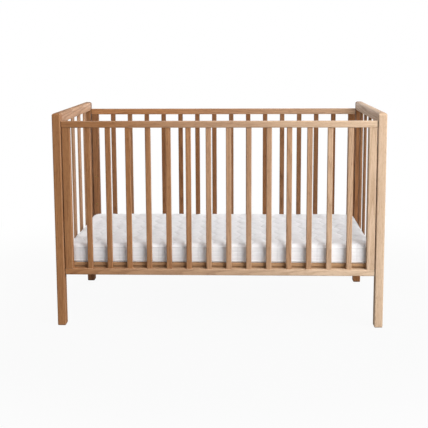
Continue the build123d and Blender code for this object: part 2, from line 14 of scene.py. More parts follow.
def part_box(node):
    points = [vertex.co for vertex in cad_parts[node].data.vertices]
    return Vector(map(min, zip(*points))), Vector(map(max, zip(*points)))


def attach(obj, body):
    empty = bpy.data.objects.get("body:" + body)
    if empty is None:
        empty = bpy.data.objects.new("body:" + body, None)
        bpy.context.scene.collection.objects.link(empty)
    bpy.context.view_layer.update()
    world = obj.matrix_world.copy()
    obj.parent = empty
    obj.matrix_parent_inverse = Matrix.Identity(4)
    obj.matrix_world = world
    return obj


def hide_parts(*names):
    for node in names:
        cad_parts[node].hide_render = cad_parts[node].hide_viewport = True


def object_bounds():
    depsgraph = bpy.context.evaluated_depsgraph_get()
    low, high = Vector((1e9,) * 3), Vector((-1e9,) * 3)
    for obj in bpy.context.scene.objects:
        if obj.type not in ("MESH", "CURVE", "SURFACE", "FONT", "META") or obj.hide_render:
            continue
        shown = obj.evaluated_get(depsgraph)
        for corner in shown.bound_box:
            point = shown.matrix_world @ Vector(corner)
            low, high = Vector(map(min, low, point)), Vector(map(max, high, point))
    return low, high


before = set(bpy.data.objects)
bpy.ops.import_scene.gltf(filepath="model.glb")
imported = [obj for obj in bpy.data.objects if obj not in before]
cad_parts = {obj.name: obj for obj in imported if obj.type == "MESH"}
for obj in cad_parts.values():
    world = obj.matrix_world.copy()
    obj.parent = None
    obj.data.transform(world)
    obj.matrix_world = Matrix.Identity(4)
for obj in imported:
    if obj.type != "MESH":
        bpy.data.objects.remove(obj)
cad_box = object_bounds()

# Camera: where it stands, how it is turned in degrees, and its lens
CAMERA_PLACE = (0.1156, -4.0089, 1.2641)
CAMERA_YAW = -2.135
CAMERA_PITCH = 7.695
CAMERA_ROLL = -0.268
CAMERA_LENS = 69.41
CAMERA_SENSOR = 36.0
CAMERA_SHIFT = -0.13

# Light: a soft key from the front right, soft lights above, behind and at the left, and a low fill
AIM = (0.0, 0.0, 0.55)
KEY_PLACE = (2.7, -3.15, 2.4)
KEY_SIZE = 3.3
KEY_POWER = 210.0
TOP_PLACE = (1.2, -0.6, 6.0)
TOP_SIZE = 2.8
TOP_POWER = 80.0
BACK_PLACE = (0.3, 3.2, 1.3)
BACK_SIZE = 1.8
BACK_POWER = 90.0
SIDE_PLACE = (-1.4, 0.0, 0.5)
SIDE_SIZE = 0.9
SIDE_POWER = 5.0
FILL_FROM = (0.55, -0.75, 0.30)
FILL_DARK = 0.03
FILL_BRIGHT = 0.54
FILL_RAMP = (-0.1, 0.9)

# Stage: a pale floor that keeps a faint shadow near the crib and turns white further out
FLOOR_HALF = 14.0
FLOOR_DROP = 0.0004
FLOOR_TONE = 0.30
FLOOR_WHITE_NEAR = 0.94
FLOOR_FADE = (1.0, 2.4)

# Rows of equal slats that share one node: how many, and how wide along the row
END_SLATS = 4
END_SLAT_WIDTH = 0.042
BASE_SLATS = 12
BASE_SLAT_WIDTH = 0.060

# Oak figure, in millimetres: growth rings round a pith that lies outside the member
MM = 1000.0
RING_WIDTH = 5.2
RING_FADE = 0.62
RING_CLOSE = 0.86
RING_UNEVEN = 1.6
RING_UNEVEN_SCALE = 0.06
PITH_NEAR = 26.0
PITH_FAR = 60.0
PITH_TILT = 0.045
RING_WARP = 13.0
WARP_ACROSS = 0.011
WARP_ALONG = 0.0022
RING_STEP = 7.3
STREAK_STEP = 3.7

# Streaks in the grain: width and length in millimetres, and detail
FIBRE = (2.6, 90.0, 3.0)
BROAD = (30.0, 330.0, 2.0)
FLECK = (4.0, 30.0, 2.0)
PORE = (0.8, 16.0, 1.0)
FLECK_RANGE = (0.52, 0.70)
PORE_RANGE = (0.60, 0.74)

# How much each of them darkens the wood, its edges paled by wear and painted highlight, and its end grain
LIGHTNESS = (0.56, 0.76)
RING_DARK = 0.40
FIBRE_DARK = 1.0
BROAD_DARK = 0.8
FLECK_DARK = 0.35
FLECK_LIFT = 0.10
PORE_LEAST = 0.25
PORE_SHARE = 0.55
WEAR_AND_HIGHLIGHT_RANGE = (0.40, 0.62)
WEAR_AND_HIGHLIGHT_WIDTH = 4.5
WEAR_AND_HIGHLIGHT_SHARE = 0.30
END_GRAIN_RANGE = (0.6, 0.95)
END_GRAIN_SHARE = 0.38

# Oiled surface of the wood
WOOD_ROUGHNESS = 0.64
RING_ROUGHNESS = 0.10
FIBRE_ROUGHNESS = 0.16
RING_RELIEF = 0.35
FIBRE_RELIEF = 0.4
WOOD_RELIEF = 0.0006
WOOD_BUMP = 0.35
WOOD_SPECULAR = 0.14

# Tone of the boards, from 0 brown to 1 pale, at the crib's middle; the rise to the right is painted light
FRONT_TONE_AND_PAINTED_LIGHT = (0.42, 0.58)
FRONT_SLAT_TONE_AND_PAINTED_LIGHT = (0.20, 0.44)
REAR_RAIL_TONE_AND_PAINTED_LIGHT = (0.24, 0.40)
# The rear uprights are kept at the brown end: painted shade.
REAR_PAINTED_SHADE_TONE = (0.02, 0.00)
LEFT_END_TONE = (0.30, 0.00)
# The right end's top rail is made pale: painted light from the right and above.
RIGHT_TOP_PAINTED_LIGHT_TONE = (0.80, 0.00)
# The right end below its top rail is kept brown: painted shade.
RIGHT_END_PAINTED_SHADE_TONE = (0.00, 0.00)
BASE_TONE_AND_PAINTED_LIGHT = (0.48, 0.24)
TONE_SPREAD = 0.14

# Mattress: sizes of its cover, from the solid's box, and of its zigzag quilting
MATTRESS_CORNER = 0.050
MATTRESS_DRAW_IN = 0.004
SEAM_ABOVE_BASE = 0.072
SEAM_PINCH = 0.003
ROLL_WIDTH = 0.030
ROLL_HEIGHT = 0.018
CROWN = 0.006
FOOT_HEIGHT = 0.010
FOOT_INSET = 0.006
PIPING_RADIUS = 0.0028
QUILT_PITCH = 0.060
QUILT_SWING = 0.026
QUILT_HALF_WAVE = 0.0606
QUILT_REACH = 0.303
QUILT_PUFF = 0.0026
QUILT_MARGIN = 0.046
QUILT_ROUND = 0.4
QUILT_EDGE = 0.012
QUILT_EDGE_WIDTH = 0.020
QUILT_EDGE_LEAST = 0.20
LUMPS = 0.0009
CALM_FROM = 0.012
CALM_WIDTH = 0.05
BORDER_LINES = 2
BORDER_GROOVE = 0.0012
BORDER_GROOVE_WIDTH = 0.028
BORDER_ROUND = 0.45

# Grid of the mattress's cover: rings, columns and rows
ROLL_RINGS = 8
MARGIN_COLUMNS = 8
STRIP_ROWS = 4
QUILT_ROWS = 101
STITCH_STEPS = (0.0, 0.045, 0.11, 0.19, 0.29, 0.40, 0.5, 0.60, 0.71, 0.81, 0.89, 0.955)
BORDER_RINGS = 24
FOOT_RINGS = (0.3, 0.6, 0.85, 1.0)
PIPING_SIDES = 8
PIPING_OUTSET = 0.1

# Mattress fabric: knit waves per millimetre, the widths of the stitching's painted valley shade and
# thread, and stitch length, in metres
KNIT_RIB = 4.2
KNIT_COURSE = 3.4
KNIT_SHADE = 0.012
VALLEY = (0.0040, 0.0008)
VALLEY_SHADE = 0.35
THREAD = (0.0010, 0.0004)
THREAD_SHARE = 0.8
STITCH_LENGTH = 0.0042
STITCH_GAP = (-0.6, 0.2)

# Cloth simulation of the mattress top
CLOTH_FRAMES = 18
CLOTH_PRESSURE = 2.5
CLOTH_SPARE = -0.02
CLOTH_CAP = 0.0007


def srgb(red, green, blue):
    """A colour given in 0 to 255 display values, as linear light."""
    levels = [value / 255 for value in (red, green, blue)]
    return tuple(v / 12.92 if v <= 0.04045 else ((v + 0.055) / 1.055) ** 2.4 for v in levels) + (1.0,)


class Shader:
    """A material under construction: each method adds a node and returns its output."""

    def __init__(self, name):
        self.material = bpy.data.materials.new(name)
        self.material.use_nodes = True
        self.tree = self.material.node_tree
        self.tree.nodes.clear()

    def node(self, kind, inputs=None, **settings):
        """Adds a node, sets its properties, and sets or links its inputs."""
        node = self.tree.nodes.new(kind)
        for key, value in settings.items():
            setattr(node, key, value)
        for key, value in (inputs or {}).items():
            if isinstance(value, bpy.types.NodeSocket):
                self.tree.links.new(value, node.inputs[key])
            else:
                node.inputs[key].default_value = value
        return node

    def math(self, operation, a, b=0.0, c=0.0, clamp=False):
        """A sum, product or other function of one to three values."""
        inputs = {0: a, 1: b, 2: c}
        return self.node("ShaderNodeMath", inputs, operation=operation, use_clamp=clamp).outputs[0]

    def ramp(self, value, start, end):
        """A smooth step from 0 at start to 1 at end."""
        inputs = {"Value": value, "From Min": start, "From Max": end}
        return self.node("ShaderNodeMapRange", inputs, interpolation_type="SMOOTHSTEP").outputs[0]

    def mix(self, share, a, b, blend="MIX"):
        """One colour laid over another."""
        node = self.node("ShaderNodeMix", {0: share, 6: a, 7: b}, data_type="RGBA", blend_type=blend)
        return node.outputs[2]

    def join(self, x, y, z):
        """A vector from three values."""
        return self.node("ShaderNodeCombineXYZ", {0: x, 1: y, 2: z}).outputs[0]

    def split(self, vector):
        """The three values of a vector."""
        return list(self.node("ShaderNodeSeparateXYZ", {0: vector}).outputs)

    def noise(self, vector, scale, detail=2.0):
        """Soft noise from 0 to 1, and its colour."""
        node = self.node("ShaderNodeTexNoise", {"Vector": vector, "Scale": scale, "Detail": detail})
        return node.outputs["Fac"], node.outputs["Color"]

    def coordinates(self):
        """The point on the piece and its normal, both in the piece's own axes."""
        node = self.node("ShaderNodeTexCoord")
        return node.outputs["Object"], node.outputs["Normal"]

    def bump(self, height, strength, distance):
        """A normal that shows a height map."""
        inputs = {"Height": height, "Strength": strength, "Distance": distance}
        return self.node("ShaderNodeBump", inputs).outputs[0]

    def principled(self, **inputs):
        """The surface shader, with its inputs named in words, and the material's output."""
        named = {key.replace("_", " "): value for key, value in inputs.items()}
        surface = self.node("ShaderNodeBsdfPrincipled", named)
        self.node("ShaderNodeOutputMaterial", {"Surface": surface.outputs[0]})
        return self.material


# Wood

OAK = {
    "brown_light": srgb(175, 125, 83),
    "brown_dark": srgb(131, 87, 55),
    "pale_light": srgb(223, 197, 170),
    "pale_dark": srgb(191, 161, 132),
    "pore": srgb(76, 49, 31),
}
# Oak darkened as painted shade, for the rear uprights and the right end's slats.
PAINTED_SHADE_OAK = {
    "brown_light": srgb(146, 100, 64),
    "brown_dark": srgb(104, 67, 41),
    "pale_light": srgb(190, 160, 130),
    "pale_dark": srgb(150, 118, 90),
    "pore": srgb(64, 41, 26),
}
BASE_WOOD = {
    "brown_light": srgb(176, 130, 90),
    "brown_dark": srgb(136, 95, 62),
    "pale_light": srgb(200, 168, 132),
    "pale_dark": srgb(164, 128, 94),
    "pore": srgb(96, 64, 40),
}
BEECH = {
    "brown_light": srgb(214, 176, 136),
    "brown_dark": srgb(190, 150, 112),
    "pale_light": srgb(218, 182, 142),
    "pale_dark": srgb(196, 156, 118),
    "pore": srgb(150, 110, 78),
}


def member_coordinates(shader, low, high, repeat):
    """Millimetres from a member's middle on each axis, and its number in a row of equal members."""
    point, normal = shader.coordinates()
    local = []
    number = 0.0
    for axis, value in enumerate(shader.split(point)):
        offset = shader.math("SUBTRACT", value, (low[axis] + high[axis]) / 2)
        if repeat and repeat[0] == axis:
            pitch = repeat[1]
            wrapped = shader.math("WRAP", offset, pitch / 2, -pitch / 2)
            number = shader.math("DIVIDE", shader.math("SUBTRACT", offset, wrapped), pitch)
            offset = wrapped
        local.append(shader.math("MULTIPLY", offset, MM))
    return local, number, normal


def growth_rings(shader, across, along, draw, number):
    """The dark part of each growth ring, from 0 to 1, on rings round a leaning, wandering pith."""
    turn = draw.uniform(0, 2 * math.pi)
    away = draw.uniform(PITH_NEAR, PITH_FAR)
    lean = draw.uniform(-PITH_TILT, PITH_TILT)
    start = draw.uniform(0, 50)
    steps = shader.math("MULTIPLY_ADD", number, RING_STEP, start)
    long_way = shader.math("MULTIPLY_ADD", along, WARP_ALONG, steps)
    wide = [shader.math("MULTIPLY", value, WARP_ACROSS) for value in across]
    warp = shader.split(shader.noise(shader.join(*wide, long_way), 1.0)[1])
    from_pith = []
    for value, shift, push in zip(across, (math.cos(turn), math.sin(turn)), warp):
        moved = shader.math("MULTIPLY_ADD", push, RING_WARP, value)
        leaning = shader.math("MULTIPLY_ADD", along, lean * shift, moved)
        from_pith.append(shader.math("ADD", leaning, away * shift - RING_WARP / 2))
    squares = [shader.math("MULTIPLY", value, value) for value in from_pith]
    radius = shader.math("SQRT", shader.math("ADD", *squares))
    uneven = shader.noise(shader.join(radius, steps, 0.0), RING_UNEVEN_SCALE)[0]
    rings = shader.math("MULTIPLY_ADD", uneven, RING_UNEVEN, shader.math("DIVIDE", radius, RING_WIDTH))
    share = shader.math("FRACT", rings)
    fading = shader.ramp(share, RING_FADE, 0.0)
    closing = shader.ramp(share, RING_CLOSE, 1.0)
    return shader.math("MAXIMUM", fading, closing)


def board_tone_and_painted_light(node):
    """How pale a board is at the crib's middle, and its painted-light change towards the right end."""
    if node.startswith("base_"):
        return BASE_TONE_AND_PAINTED_LIGHT
    # The rear uprights and the right end below its top rail get brown tones that are painted shade.
    if node.startswith("rear_"):
        return REAR_RAIL_TONE_AND_PAINTED_LIGHT if "rail" in node else REAR_PAINTED_SHADE_TONE
    if node.startswith("left_end"):
        return LEFT_END_TONE
    if node.startswith("right_end"):
        return RIGHT_TOP_PAINTED_LIGHT_TONE if "top_rail" in node else RIGHT_END_PAINTED_SHADE_TONE
    return FRONT_SLAT_TONE_AND_PAINTED_LIGHT if "slat" in node else FRONT_TONE_AND_PAINTED_LIGHT


def board_palette(node):
    """The wood: oak, darker oak as painted shade at the rear and right end, beech dowels and the base's
    wood.
    """
    if "dowels" in node:
        return BEECH
    if node.startswith("base_"):
        return BASE_WOOD
    # The rear uprights and the right end's slats get the darker oak: painted shade.
    if node == "right_end_slats" or (node.startswith("rear_") and "rail" not in node):
        return PAINTED_SHADE_OAK
    return OAK


def wood(name, along_axis, low, high, palette, tone, seed, repeat=None):
    """Oiled wood for one member: rings, fibres, pores, broad tone, edges paled by wear and painted
    highlight, darker end grain.
    """
    shader = Shader(name)
    draw = random.Random(seed)
    local, number, normal = member_coordinates(shader, low, high, repeat)
    along = local[along_axis]
    cross_axes = [axis for axis in range(3) if axis != along_axis]
    across = [local[axis] for axis in cross_axes]
    early = growth_rings(shader, across, along, draw, number)

    start = shader.math("MULTIPLY_ADD", number, STREAK_STEP, draw.uniform(0, 90))

    def streaks(width, length, detail):
        """Noise drawn out along the grain, sized in millimetres."""
        sides = [shader.math("DIVIDE", value, width) for value in across]
        run = shader.math("ADD", shader.math("DIVIDE", along, length), start)
        return shader.noise(shader.join(*sides, run), 1.0, detail)[0]

    fibre = streaks(*FIBRE)
    broad = streaks(*BROAD)
    fleck = shader.ramp(streaks(*FLECK), *FLECK_RANGE)
    pore = shader.ramp(streaks(*PORE), *PORE_RANGE)
    in_rings = shader.math("MULTIPLY_ADD", early, 1 - PORE_LEAST, PORE_LEAST)
    pore = shader.math("MULTIPLY", pore, in_rings)

    lightness = draw.uniform(*LIGHTNESS)
    figure = shader.math("MULTIPLY_ADD", early, -RING_DARK, lightness)
    for streak, dark in ((fibre, FIBRE_DARK), (broad, BROAD_DARK)):
        figure = shader.math("ADD", figure, shader.math("MULTIPLY_ADD", streak, dark, -dark / 2))
    figure = shader.math("ADD", figure, FLECK_LIFT)
    figure = shader.math("MULTIPLY_ADD", fleck, -FLECK_DARK, figure, clamp=True)

    # Paleness is the board's own tone plus a rise towards the right end that is painted light.
    middle_x = (low[0] + high[0]) / 2
    reach = cad_box[1].x
    paleness_and_painted_light = shader.math("MULTIPLY", local[0], tone[1] / (reach * MM))
    shift = tone[0] + tone[1] * middle_x / reach + draw.uniform(-TONE_SPREAD, TONE_SPREAD)
    paleness_and_painted_light = shader.math("ADD", paleness_and_painted_light, shift, clamp=True)
    brown = shader.mix(figure, palette["brown_dark"], palette["brown_light"])
    pale = shader.mix(figure, palette["pale_dark"], palette["pale_light"])
    colour = shader.mix(paleness_and_painted_light, brown, pale)
    colour = shader.mix(shader.math("MULTIPLY", pore, PORE_SHARE), colour, palette["pore"])

    # Paler along the edges: partly wear, partly painted highlight.
    wear_and_highlight = shader.ramp(fibre, *WEAR_AND_HIGHLIGHT_RANGE)
    for axis, value in zip(cross_axes, across):
        half = (high[axis] - low[axis]) / 2 * MM
        at_edge = shader.ramp(shader.math("ABSOLUTE", value), half - WEAR_AND_HIGHLIGHT_WIDTH, half)
        wear_and_highlight = shader.math("MULTIPLY", wear_and_highlight, at_edge)
    colour = shader.mix(shader.math("MULTIPLY", wear_and_highlight, WEAR_AND_HIGHLIGHT_SHARE), colour, palette["pale_light"])
    facing_end = shader.math("ABSOLUTE", shader.split(normal)[along_axis])
    end_grain = shader.ramp(facing_end, *END_GRAIN_RANGE)
    colour = shader.mix(shader.math("MULTIPLY", end_grain, END_GRAIN_SHARE), colour, palette["brown_dark"])

    roughness = shader.math("MULTIPLY_ADD", early, RING_ROUGHNESS, WOOD_ROUGHNESS)
    roughness = shader.math("MULTIPLY_ADD", fibre, FIBRE_ROUGHNESS, roughness)
    height = shader.math("MULTIPLY_ADD", early, -RING_RELIEF, shader.math("MULTIPLY", fibre, FIBRE_RELIEF))
    height = shader.math("SUBTRACT", height, pore)
    normal_map = shader.bump(height, WOOD_BUMP, WOOD_RELIEF)
    return shader.principled(
        Base_Color=colour, Roughness=roughness, Normal=normal_map, Specular_IOR_Level=WOOD_SPECULAR)


# Hardware

def metal(name, colour, dull):
    """Turned metal: fine circular marks, a few stains and an uneven polish."""
    shader = Shader(name)
    point = shader.coordinates()[0]
    marks = shader.noise(point, 2600.0, 3.0)[0]
    stains = shader.noise(point, 140.0, 3.0)[0]
    shade = shader.ramp(stains, 0.35, 0.75)
    dark = tuple(channel * 0.72 for channel in colour[:3]) + (1.0,)
    tinted = shader.mix(shader.math("MULTIPLY", shade, 0.5), colour, dark)
    roughness = shader.math("MULTIPLY_ADD", stains, 0.22, dull)
    normal_map = shader.bump(marks, 0.15, 0.0001)
    return shader.principled(Base_Color=tinted, Roughness=roughness, Normal=normal_map, Metallic=1.0)


def moulded_plastic(name, colour):
    """Dark moulded plastic with a fine spark-eroded texture and rubbed high spots."""
    shader = Shader(name)
    point = shader.coordinates()[0]
    grain = shader.noise(point, 1800.0, 2.0)[0]
    rubbed = shader.ramp(shader.noise(point, 90.0, 2.0)[0], 0.5, 0.8)
    lighter = tuple(min(1.0, channel * 2.2 + 0.01) for channel in colour[:3]) + (1.0,)
    tinted = shader.mix(shader.math("MULTIPLY", rubbed, 0.5), colour, lighter)
    roughness = shader.math("MULTIPLY_ADD", rubbed, -0.15, 0.62)
    normal_map = shader.bump(grain, 0.3, 0.0002)
    return shader.principled(Base_Color=tinted, Roughness=roughness, Normal=normal_map)


# Mattress fabric

def stitch_distance(shader, point):
    """Metres from the nearest zigzag stitching line, measured along X, and the run along the line."""
    x, y, _ = shader.split(point)
    run = shader.math("ADD", y, QUILT_REACH)
    turn = shader.math("PINGPONG", run, QUILT_HALF_WAVE)
    swing = shader.math("MULTIPLY_ADD", turn, -QUILT_SWING / QUILT_HALF_WAVE, QUILT_SWING / 2)
    straight = shader.math("SUBTRACT", x, swing)
    half = QUILT_PITCH / 2
    line = shader.math("WRAP", shader.math("SUBTRACT", straight, half), half, -half)
    return shader.math("ABSOLUTE", line), run


def quilted_fabric(name, quilted):
    """White knitted ticking with a fine rib, soft unevenness and, on the top, stitched lines with painted
    shade in their valleys.
    """
    shader = Shader(name)
    point = shader.coordinates()[0]
    x, y, z = [shader.math("MULTIPLY", value, MM) for value in shader.split(point)]
    rib = shader.math("SINE", shader.math("MULTIPLY", shader.math("ADD", x, z), KNIT_RIB))
    course = shader.math("SINE", shader.math("MULTIPLY", shader.math("ADD", y, z), KNIT_COURSE))
    knit = shader.math("MULTIPLY", rib, course)
    lumps = shader.noise(point, 45.0, 3.0)[0]
    fuzz = shader.noise(point, 900.0, 2.0)[0]
    height = shader.math("MULTIPLY_ADD", knit, 0.25, shader.math("MULTIPLY", fuzz, 0.5))
    colour = shader.mix(shader.ramp(lumps, 0.3, 0.75), srgb(235, 236, 239), srgb(241, 242, 245))
    shade = shader.math("MULTIPLY_ADD", knit, KNIT_SHADE, KNIT_SHADE)
    colour = shader.mix(shade, colour, srgb(214, 214, 216))
    if quilted:
        away, run = stitch_distance(shader, point)
        # Darker colour along the stitched valleys: painted shade.
        valley = shader.ramp(away, *VALLEY)
        beat = shader.math("SINE", shader.math("MULTIPLY", run, 2 * math.pi / STITCH_LENGTH))
        dash = shader.ramp(beat, *STITCH_GAP)
        thread = shader.math("MULTIPLY", shader.ramp(away, *THREAD), dash)
        colour = shader.mix(shader.math("MULTIPLY", valley, VALLEY_SHADE), colour, srgb(204, 205, 210))
        colour = shader.mix(shader.math("MULTIPLY", thread, THREAD_SHARE), colour, srgb(240, 240, 240))
        height = shader.math("MULTIPLY_ADD", thread, 1.5, height)
    return shader.principled(
        Base_Color=colour, Roughness=shader.math("MULTIPLY_ADD", lumps, 0.1, 0.82),
        Normal=shader.bump(height, 0.4, 0.0004), Sheen_Weight=0.15, Specular_IOR_Level=0.2)


# Materials on the solids

def dress(node, material):
    """Puts one material on all of a solid's faces."""
    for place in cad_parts[node].material_slots:
        place.material = material


def wood_axis(node):
    """The axis of a wooden piece's grain."""
    if node.startswith("base_slats") or "end_top_rail" in node or "end_bottom_rail" in node:
        return 1
    if node in ("base_left_beam", "base_right_beam", "end_rail_dowels"):
        return 1
    if "top_rail" in node or "bottom_rail" in node or "beam" in node:
        return 0
    return 2


def slat_row(node):
    """The first slat's box in a row that shares one node, and the axis and pitch of the row."""
    axis, count, width = 1, END_SLATS, END_SLAT_WIDTH
    if node == "base_slats":
        axis, count, width = 0, BASE_SLATS, BASE_SLAT_WIDTH
    low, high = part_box(node)
    pitch = (high[axis] - low[axis] - width) / (count - 1)
    first = Vector(high)
    first[axis] = low[axis] + width
    return low, first, (axis, pitch)


HARDWARE = {
    "panel_bolts": metal("bolt_steel", srgb(128, 122, 114), 0.34),
    "barrel_nuts": metal("nut_steel", srgb(110, 104, 96), 0.42),
    "base_support_pins": metal("pin_steel", srgb(150, 146, 140), 0.32),
    "base_slat_screws": metal("screw_steel", srgb(140, 134, 126), 0.34),
    "insert_nuts": metal("insert_brass", srgb(168, 132, 74), 0.34),
    "panel_spacers": moulded_plastic("spacer_plastic_dark", srgb(34, 30, 28)),
}


def dress_solids():
    """Gives every solid but the mattress its finish, each wooden piece with its own figure."""
    for seed, node in enumerate(sorted(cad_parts)):
        if node == "mattress":
            continue
        if node in HARDWARE:
            dress(node, HARDWARE[node])
            continue
        palette = board_palette(node)
        low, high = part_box(node)
        repeat = None
        if node.endswith("_slats"):
            low, high, repeat = slat_row(node)
        tone = board_tone_and_painted_light(node)
        dress(node, wood(f"wood_{node}", wood_axis(node), low, high, palette, tone, seed, repeat))


# Mattress

def mesh_piece(name, points, faces, material=None):
    """A smooth shaded mesh object."""
    mesh = bpy.data.meshes.new(name)
    mesh.from_pydata([tuple(point) for point in points], [], faces)
    mesh.polygons.foreach_set("use_smooth", [True] * len(mesh.polygons))
    mesh.validate()
    if material:
        mesh.materials.append(material)
    piece = bpy.data.objects.new(name, mesh)
    bpy.context.scene.collection.objects.link(piece)
    return piece


def zigzag(y):
    """How far the stitching lines swing in X at each Y."""
    run = np.mod(y + QUILT_REACH, 2 * QUILT_HALF_WAVE)
    return QUILT_SWING * (0.5 - (QUILT_HALF_WAVE - np.abs(run - QUILT_HALF_WAVE)) / QUILT_HALF_WAVE)


def stitch_columns(half_x):
    """X of each stitching line's middle."""
    count = int(2 * (half_x - QUILT_MARGIN - QUILT_SWING / 2) // QUILT_PITCH) + 1
    return (np.arange(count) - (count - 1) / 2) * QUILT_PITCH


def edge_steps():
    """Distances from the edge at which the rolled edge is cut into rings."""
    return ROLL_WIDTH * (1 - np.cos(np.radians(np.linspace(0, 90, ROLL_RINGS))))


def grid_lines(half_x, half_y):
    """X and Y of the cover's grid, closer together at the stitching and the rolled edge."""
    rolled = edge_steps()
    columns = stitch_columns(half_x)
    inside = np.array(STITCH_STEPS) * QUILT_PITCH
    between = np.concatenate([column + inside for column in columns[:-1]] + [columns[-1:]])
    margin = np.linspace(-half_x + ROLL_WIDTH, columns[0], MARGIN_COLUMNS)[1:-1]
    xs = np.concatenate([-half_x + rolled, margin, between, -margin[::-1], half_x - rolled[::-1]])
    rows = np.linspace(-QUILT_REACH, QUILT_REACH, QUILT_ROWS)
    strip = np.linspace(-half_y + ROLL_WIDTH, -QUILT_REACH, STRIP_ROWS)[1:-1]
    ys = np.concatenate([-half_y + rolled, strip, rows, -strip[::-1], half_y - rolled[::-1]])
    return xs, ys


def round_corners(x, y, half_x, half_y, corner):
    """Turns the grid's square corners into round ones, and draws its sides in between them."""
    ax = (np.abs(x) - (half_x - corner)) / corner
    ay = (np.abs(y) - (half_y - corner)) / corner
    inside = (ax > 0) & (ay > 0)
    far = np.maximum(ax, ay)
    small = np.minimum(ax, ay)
    angle = np.pi / 4 * np.divide(small, far, out=np.zeros_like(far), where=inside)
    angle = np.where(ax >= ay, angle, np.pi / 2 - angle)
    new_x = np.where(inside, np.sign(x) * (half_x - corner + corner * far * np.cos(angle)), x)
    new_y = np.where(inside, np.sign(y) * (half_y - corner + corner * far * np.sin(angle)), y)
    in_x = MATTRESS_DRAW_IN * np.clip(1 - (y / (half_y - corner)) ** 2, 0, 1) * (x / half_x) ** 8
    in_y = MATTRESS_DRAW_IN * np.clip(1 - (x / (half_x - corner)) ** 2, 0, 1) * (y / half_y) ** 8
    return new_x - np.sign(x) * in_x, new_y - np.sign(y) * in_y


def quilt_height(x, columns):
    """The puff of the padding between stitching lines, from 0 at a line to 1 between two."""
    column = (x - columns[0]) / QUILT_PITCH
    share = column - np.floor(column)
    puff = (4 * share * (1 - share)) ** QUILT_ROUND
    outside = np.maximum(columns[0] - x, x - columns[-1])
    edge_puff = 1 - np.exp(-np.clip(outside, 0, None) / QUILT_EDGE)
    return np.where(outside > 0, edge_puff, puff)


def mattress_top(half_x, half_y, seam_z):
    """Points of the quilted top, row by row from the front, and which of them are sewn down."""
    xs, ys = grid_lines(half_x, half_y)
    x, y = np.meshgrid(xs, ys)
    columns = stitch_columns(half_x)
    from_edge = np.minimum(half_x - np.abs(x), half_y - np.abs(y))
    roll = np.clip(from_edge / ROLL_WIDTH, 0, 1)
    rise = ROLL_HEIGHT * np.sqrt(1 - (1 - roll) ** 2)
    crown = CROWN * (1 - (x / half_x) ** 4) * (1 - (y / half_y) ** 2)
    fullness = np.clip(from_edge / QUILT_EDGE_WIDTH, QUILT_EDGE_LEAST, 1)
    puff = QUILT_PUFF * (quilt_height(x, columns) - 1) * fullness
    lumps = LUMPS * np.sin(x * 23 + 3 * np.sin(y * 11)) * np.sin(y * 19 + 2 * np.sin(x * 7)) * roll
    calm = np.clip((half_x - np.abs(x) - CALM_FROM) / CALM_WIDTH, 0, 1)
    swung = x + zigzag(y) * calm
    px, py = round_corners(swung, y, half_x, half_y, MATTRESS_CORNER)
    points = np.stack([px, py, seam_z + rise + crown + puff + lumps], axis=-1)
    on_line = np.isclose(np.abs(x[:, :, None] - columns).min(axis=2), 0, atol=1e-6)
    sewn = on_line | (from_edge < 1e-6)
    return points, sewn


def grid_faces(rows, columns, first, flip):
    """Quads of a grid whose points are numbered row by row."""
    faces = []
    for row in range(rows - 1):
        for column in range(columns - 1):
            corner = first + row * columns + column
            quad = (corner, corner + 1, corner + columns + 1, corner + columns)
            faces.append(quad[::-1] if flip else quad)
    return faces


def grid_rim(rows, columns):
    """Numbers of the grid's outer points, anticlockwise from its front left corner."""
    front = list(range(columns))
    right = [row * columns + columns - 1 for row in range(1, rows)]
    back = [(rows - 1) * columns + column for column in range(columns - 2, -1, -1)]
    left = [row * columns for row in range(rows - 2, 0, -1)]
    return front + right + back + left


def inflate(points, sewn):
    """Swells the quilted top between its sewn lines, as cloth under a little pressure from below."""
    rows, columns, _ = points.shape
    flat = points.reshape(-1, 3)
    cloth_piece = mesh_piece("mattress_cloth", flat, grid_faces(rows, columns, 0, False))
    held = cloth_piece.vertex_groups.new(name="sewn")
    held.add([int(i) for i in np.flatnonzero(sewn.reshape(-1))], 1.0, "REPLACE")
    cloth = cloth_piece.modifiers.new("swell", "CLOTH")
    cloth.settings.quality = 4
    cloth.settings.mass = 0.25
    cloth.settings.tension_stiffness = 12
    cloth.settings.compression_stiffness = 12
    cloth.settings.shear_stiffness = 6
    cloth.settings.bending_stiffness = 0.8
    cloth.settings.use_pressure = True
    cloth.settings.uniform_pressure_force = CLOTH_PRESSURE
    cloth.settings.shrink_min = CLOTH_SPARE
    cloth.settings.effector_weights.gravity = 0
    cloth.settings.vertex_group_mass = held.name
    cloth.point_cache.frame_end = CLOTH_FRAMES
    scene = bpy.context.scene
    for number in range(1, CLOTH_FRAMES + 1):
        scene.frame_set(number)
    evaluated = cloth_piece.evaluated_get(bpy.context.evaluated_depsgraph_get())
    swollen = np.empty(len(flat) * 3)
    evaluated.data.vertices.foreach_get("co", swollen)
    scene.frame_set(1)
    bpy.data.objects.remove(cloth_piece)
    move = swollen.reshape(-1, 3) - flat
    size = np.linalg.norm(move, axis=1, keepdims=True)
    move *= np.minimum(1, CLOTH_CAP / np.maximum(size, 1e-9))
    return (flat + move).reshape(points.shape)


def rim_normals(rim):
    """Outward directions in plan along a closed rim."""
    ahead = np.roll(rim, -1, axis=0) - np.roll(rim, 1, axis=0)
    outward = np.stack([ahead[:, 1], -ahead[:, 0]], axis=1)
    return outward / np.linalg.norm(outward, axis=1, keepdims=True)


